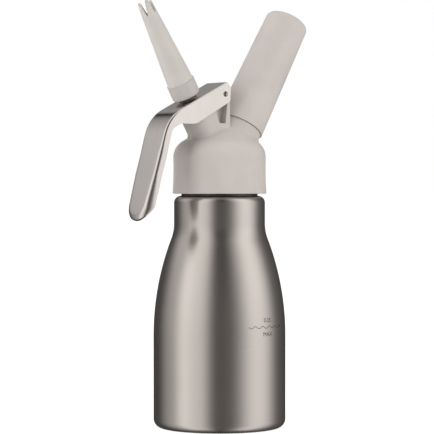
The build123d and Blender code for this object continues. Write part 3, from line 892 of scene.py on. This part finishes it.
class WHIPPER_OT_head(Operator):
    """Finish the moulded head, the ring that screws on the bottle and the seals"""

    bl_idname = "whipper.head"
    bl_label = "Head"

    def execute(self, context):
        whipper = context.scene.whipper
        head = whipper.head
        moulding = moulded_plastic("head_moulding", head.plastic, head.roughness)
        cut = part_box("head_shell")[0].z + head.skirt_cut
        shell, rims = cut_copy("head_shell", Vector((0, 0, cut)), Vector((0, 0, -1)), trace=True)
        bmesh.ops.bridge_loops(shell, edges=rims)
        made = piece("moulded_head", shell, "head", moulding, stands_for="head_shell")
        shade_as_packed(made, "head_shell")
        piece("skirt_end", plain_skirt(head, cut), "head", moulding)
        piece("pocket_web", pocket_web(head), "head", moulding)
        dress(moulded_plastic("guide_moulding", (0.7, 0.69, 0.66), roughness=0.4), "valve_guide")
        aluminium = brushed_metal("ring_aluminium", (0.62, 0.62, 0.62), 0.35, (9.0, 9.0, 1500.0))
        dress(aluminium, "thread_ring")
        thread("ring_thread", aluminium)
        dress(
            moulded_plastic("seal_silicone", whipper.valve.seals, roughness=0.6, grain=2600.0),
            "head_gasket", "guide_oring", "stem_oring", "valve_seal", "tip_seal", "charger_seal",
            "check_valve",
        )
        return {"FINISHED"}


class WHIPPER_OT_lever(Operator):
    """Finish the pressed lever and the pin that it turns on"""

    bl_idname = "whipper.lever"
    bl_label = "Lever"

    def execute(self, context):
        size = context.scene.whipper.lever
        steel = brushed_metal(
            "brushed_lever_steel", size.steel, size.roughness, (14.0, 1900.0, 14.0), anisotropy=0.5,
            round_axis="Y",
        )
        made = piece("lever_sheet", lever_sheet(size), "lever", steel, stands_for="lever")
        shade_as_packed(made, "lever")
        pin_steel = brushed_metal("pin_steel", size.pin, 0.32, (30.0, 900.0, 30.0))
        piece("rolled_pin", rolled_pin(size), "head", pin_steel, stands_for="lever_pin")
        return {"FINISHED"}


# How far the streaks of turned pieces lean with the valve's axis and with the holder's
VALVE_LEAN, HOLDER_LEAN = (0.0, radians(30.0), 0.0), (0.0, radians(-30.0), 0.0)


class WHIPPER_OT_valve(Operator):
    """Turn the threaded stem and wind the spring under its shoulder"""

    bl_idname = "whipper.valve"
    bl_label = "Valve"

    def execute(self, context):
        size = context.scene.whipper.valve
        turned = brushed_metal("turned_steel", size.metal, 0.28, (260.0, 260.0, 2600.0), VALVE_LEAN)
        dress(turned, "stem_foot", "piercing_pin")
        stem, rims = cut_copy("valve_stem", crossing + valve_axis * size.thread_low, valve_axis)
        bmesh.ops.bridge_loops(stem, edges=rims)
        piece("stem_body", stem, "valve", turned, stands_for="valve_stem")
        low, top, bore = size.thread_low, size.thread_top, size.stem_bore
        root, crest = size.stem_root, size.stem_crest
        chamfer = (crest - root) * 0.8
        end = turned_ring(
            64, (bore, low), (root, low), (root, top - chamfer), (root - chamfer, top), (bore, top),
        )
        piece("stem_end", along(valve_axis, end), "valve", turned)
        thread("stem_thread", turned, valve_axis, (root, crest - 0.02 * MM))
        wire = brushed_metal("spring_wire", (0.5, 0.49, 0.47), 0.3, (400.0, 400.0, 400.0))
        spring = piece(
            "valve_coil", along(valve_axis, coil_spring(size)), "head", wire,
            stands_for="valve_spring",
        )
        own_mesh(spring)
        return {"FINISHED"}


class WHIPPER_OT_decorator_tip(Operator):
    """Finish the decorator tip and cut the thread in its socket"""

    bl_idname = "whipper.decorator_tip"
    bl_label = "Decorator tip"

    def execute(self, context):
        size = context.scene.whipper.tip
        # The collar, below its top, is drawn darker than the cone.
        darker_below = valve_axis, crossing.dot(valve_axis) + size.collar_top, size.collar_shade
        moulding = moulded_plastic("tip_moulding", size.plastic, size.roughness, darker_below=darker_below)
        dress(moulding, "decorator_tip")
        thread("tip_thread", moulding, valve_axis)
        return {"FINISHED"}


# The nipple's half section: radius, and distance up the holder's axis, in millimetres
NIPPLE = (
    (0.9, 17.6), (6.6, 17.6), (7.0, 18.0), (7.0, 28.6), (9.9, 28.6), (9.9, 41.7), (9.5, 42.1), (5.05, 42.1),
    (4.65, 41.7), (4.65, 31.7), (2.0, 31.7), (2.0, 27.7), (0.9, 27.7),
)


class WHIPPER_OT_holder(Operator):
    """Finish the charger holder, the charger and the threaded nipple"""

    bl_idname = "whipper.holder"
    bl_label = "Charger holder"

    def execute(self, context):
        size = context.scene.whipper.holder
        moulding = moulded_plastic("holder_moulding", size.plastic, size.roughness)
        dress(moulding, "charger_holder")
        thread("holder_thread", moulding, holder_axis)
        nickel = brushed_metal("nickel_plating", size.plating, 0.25, (200.0, 200.0, 2400.0), HOLDER_LEAN)
        corners = [(radius * MM, height * MM) for radius, height in NIPPLE]
        nipple = along(holder_axis, turned_ring(72, *corners))
        piece("nipple_body", nipple, "head", nickel, stands_for="charging_nipple")
        thread("nipple_thread", nickel, holder_axis)
        zinc = brushed_metal("zinc_plating", size.charger, 0.3, (60.0, 60.0, 60.0), HOLDER_LEAN)
        dress(zinc, "gas_charger")
        return {"FINISHED"}


# Stage

def bare_tree(owner):
    """The empty node tree of a material or a world."""
    owner.use_nodes = True
    owner.node_tree.nodes.clear()
    return owner.node_tree


def picture_rays(tree):
    """One for the rays that see the white background, straight or in metal."""
    rays = add(tree, "LightPath").outputs
    return combine(tree, rays["Is Camera Ray"], rays["Is Glossy Ray"], "MAXIMUM")


def area_lamp(name, width, power, place):
    """A soft lamp that metal doesn't show."""
    lamp = bpy.data.lights.new(name, "AREA")
    lamp.size = width
    lamp.energy = power
    made = bpy.data.objects.new(name, lamp)
    made.location = place
    made.visible_glossy = False
    bpy.context.scene.collection.objects.link(made)
    return made


def look_at(made, point):
    """Turn a lamp or the camera towards a point."""
    made.rotation_euler = (point - made.location).to_track_quat("-Z", "Y").to_euler()


# Screens round the whipper, which only reflections show: bearing from the camera, half width and soft
# edge in degrees, strength, and the heights in metres between which a screen comes in, where it hangs high
SCREENS = (
    (-48.0, 8.0, 38.0, 0.78),
    (-84.0, 0.0, 53.0, 0.41),
    (69.5, 0.0, 55.0, 0.8),
    (75.0, 0.0, 90.0, 0.15),
    (8.0, 8.0, 40.0, 0.04),
    (3.0, 9.0, 18.0, -0.08, 0.25, 0.45),
    (-118.0, 8.0, 26.0, 0.28, 0.25, 0.5),
    (180.0, 27.0, 6.0, 0.25, 0.4, 0.75),
    (-149.5, 3.0, 1.4, -0.22, 0.4, 0.6),
)
# Level between the screens, the ends of the tent in metres, and the levels of its foot and of its upper
# part with the heights between which they change
FLAGS = 0.07
TENT_LOW, TENT_TOP, TENT_SIDES = -2.4, 2.2, 96
FOOT = (-2.4, -1.8, 0.35, 1.0)
UPPER = (-0.1, 0.4, 1.0, 1.18)
# Lamps beside the camera: bearing from it in degrees, height and width in metres, and power in watts
LAMPS = {
    "left_lamp": (-50.0, 0.45, 0.5, 6.0),
    "side_lamp": (-100.0, 0.45, 0.5, 4.5),
    "right_lamp": (68.0, 0.35, 0.8, 8.2),
}
# Distance of those lamps, their length and the height they look at, in metres
LAMP_DISTANCE, LAMP_LENGTH, LAMP_AIM = 1.3, 1.2, 0.15


class WHIPPER_OT_stage(Operator):
    """Set the floor, the screens and flags, the lamps, the world and the camera"""

    bl_idname = "whipper.stage"
    bl_label = "Stage"

    def execute(self, context):
        scene = context.scene
        size = scene.whipper.stage
        self.floor()
        self.tent(size)
        self.lamps(size)
        self.world(scene, size)
        self.camera(scene, size)
        scene.view_settings.view_transform = "Standard"
        return {"FINISHED"}

    def floor(self):
        """A white floor just under the foot, which shows as white as the background."""
        material = bpy.data.materials.new("white_floor")
        tree = bare_tree(material)
        matt = add(tree, "BsdfDiffuse", {"Color": (0.9, 0.9, 0.9, 1.0)})
        strength = combine(tree, picture_rays(tree), 0.64, "MULTIPLY")
        glow = add(tree, "Emission", {"Strength": strength})
        both = add(tree, "AddShader", {0: matt.outputs[0], 1: glow.outputs[0]})
        add(tree, "OutputMaterial", {"Surface": both.outputs[0]})
        bm = bmesh.new()
        under_foot = Matrix.Translation((0, 0, -0.05 * MM))
        bmesh.ops.create_grid(bm, x_segments=1, y_segments=1, size=40.0, matrix=under_foot)
        made = new_object("floor", bm, material)
        made.visible_glossy = False

    def tent(self, size):
        """A ring of bright screens with dark flags between them, which goes on below the table."""
        material = bpy.data.materials.new("screens_and_flags")
        tree = bare_tree(material)
        place = add(tree, "TexCoord").outputs["Object"]
        split = add(tree, "SeparateXYZ", {0: place}).outputs
        bearing = combine(tree, split["X"], split["Y"], "ARCTAN2")
        level = FLAGS
        for middle, half, soft, strength, *heights in SCREENS:
            centre = size.azimuth + radians(middle)
            off = combine(tree, bearing, atan2(sin(centre), -cos(centre)), "SUBTRACT")
            turn = add(tree, "Math", {0: off, 1: pi, 2: -pi}, operation="WRAP").outputs[0]
            apart = combine(tree, turn, 0.0, "ABSOLUTE")
            screen = remap(tree, apart, radians(half), radians(half + soft), strength, 0.0, smooth=True)
            if heights:
                high = remap(tree, split["Z"], *heights, 0.0, 1.0, smooth=True)
                screen = combine(tree, screen, high, "MULTIPLY")
            level = combine(tree, screen, level)
        for change in (FOOT, UPPER):
            level = combine(tree, level, remap(tree, split["Z"], *change, smooth=True), "MULTIPLY")
        glow = add(tree, "Emission", {"Color": (1.0, 0.985, 0.97, 1.0), "Strength": level})
        add(tree, "OutputMaterial", {"Surface": glow.outputs[0]})
        bm = bmesh.new()
        bmesh.ops.create_cone(
            bm, cap_ends=False, segments=TENT_SIDES, radius1=size.tent, radius2=size.tent,
            depth=TENT_TOP - TENT_LOW, matrix=Matrix.Translation((0, 0, (TENT_TOP + TENT_LOW) / 2)),
        )
        bmesh.ops.create_circle(
            bm, cap_ends=True, segments=TENT_SIDES, radius=size.tent,
            matrix=Matrix.Translation((0, 0, TENT_LOW)),
        )
        made = new_object("tent", bm, material)
        for rays in ("camera", "diffuse", "shadow"):
            setattr(made, "visible_" + rays, False)

    def lamps(self, size):
        """Three soft lamps beside the camera and one overhead, for the matt pieces."""
        for name, (bearing, height, width, power) in LAMPS.items():
            around = size.azimuth + radians(bearing)
            place = (LAMP_DISTANCE * sin(around), -LAMP_DISTANCE * cos(around), height)
            made = area_lamp(name, width, power, place)
            made.data.shape = "RECTANGLE"
            made.data.size_y = LAMP_LENGTH
            look_at(made, Vector((0, 0, LAMP_AIM)))
        area_lamp("top_lamp", width=1.2, power=5.0, place=(0, 0, 1.6))

    def world(self, scene, size):
        """White to the eye and in reflections, and a plain grey light from all round."""
        world = bpy.data.worlds.new("white_studio")
        tree = bare_tree(world)
        white = (1.0, 1.0, 1.0, 1.0)
        ambient, seen = (
            add(tree, "Background", {"Color": white, "Strength": strength}).outputs[0]
            for strength in (size.ambient, 1.0)
        )
        mixed = add(tree, "MixShader", {0: picture_rays(tree), 1: ambient, 2: seen})
        add(tree, "OutputWorld", {"Surface": mixed.outputs[0]})
        scene.world = world

    def camera(self, scene, size):
        """The camera in the photographer's place."""
        back = Vector((sin(size.azimuth), -cos(size.azimuth), 0))
        right = Vector((cos(size.azimuth), sin(size.azimuth), 0))
        aim = Vector((0, 0, size.aim_height)) - right * size.side_step
        data = bpy.data.cameras.new("camera")
        data.lens = size.lens
        data.clip_start, data.clip_end = 0.01, 100.0
        made = bpy.data.objects.new("camera", data)
        made.location = aim + back * size.distance
        made.location.z = size.camera_height
        look_at(made, aim)
        scene.collection.objects.link(made)
        scene.camera = made


OPERATORS = (
    WHIPPER_OT_bottle, WHIPPER_OT_fill_mark, WHIPPER_OT_head, WHIPPER_OT_lever, WHIPPER_OT_valve,
    WHIPPER_OT_decorator_tip, WHIPPER_OT_holder, WHIPPER_OT_stage,
)


class WHIPPER_PT_sidebar(Panel):
    """Pieces of the whipper and what may be changed on them"""

    bl_idname = "WHIPPER_PT_sidebar"
    bl_label = "Cream Whipper"
    bl_space_type = "VIEW_3D"
    bl_region_type = "UI"
    bl_category = "Whipper"

    def draw(self, context):
        layout = self.layout
        for name, settings in SETTINGS.items():
            box = layout.box()
            box.label(text=name.capitalize())
            for value in settings.__annotations__:
                box.prop(getattr(context.scene.whipper, name), value)
        for operator in OPERATORS:
            layout.operator(operator.bl_idname)


CLASSES = (*SETTINGS.values(), WhipperSettings, *OPERATORS, WHIPPER_PT_sidebar)


def register():
    """Register the classes and hang the settings on the scene."""
    for made in CLASSES:
        bpy.utils.register_class(made)
    bpy.types.Scene.whipper = PointerProperty(type=WhipperSettings)


def unregister():
    """Take the settings off the scene and unregister the classes."""
    del bpy.types.Scene.whipper
    for made in reversed(CLASSES):
        bpy.utils.unregister_class(made)


def main():
    """Make every piece."""
    register()
    bpy.ops.whipper.bottle()
    bpy.ops.whipper.fill_mark()
    bpy.ops.whipper.head()
    bpy.ops.whipper.lever()
    bpy.ops.whipper.valve()
    bpy.ops.whipper.decorator_tip()
    bpy.ops.whipper.holder()
    bpy.ops.whipper.stage()


if __name__ == "__main__":
    main()
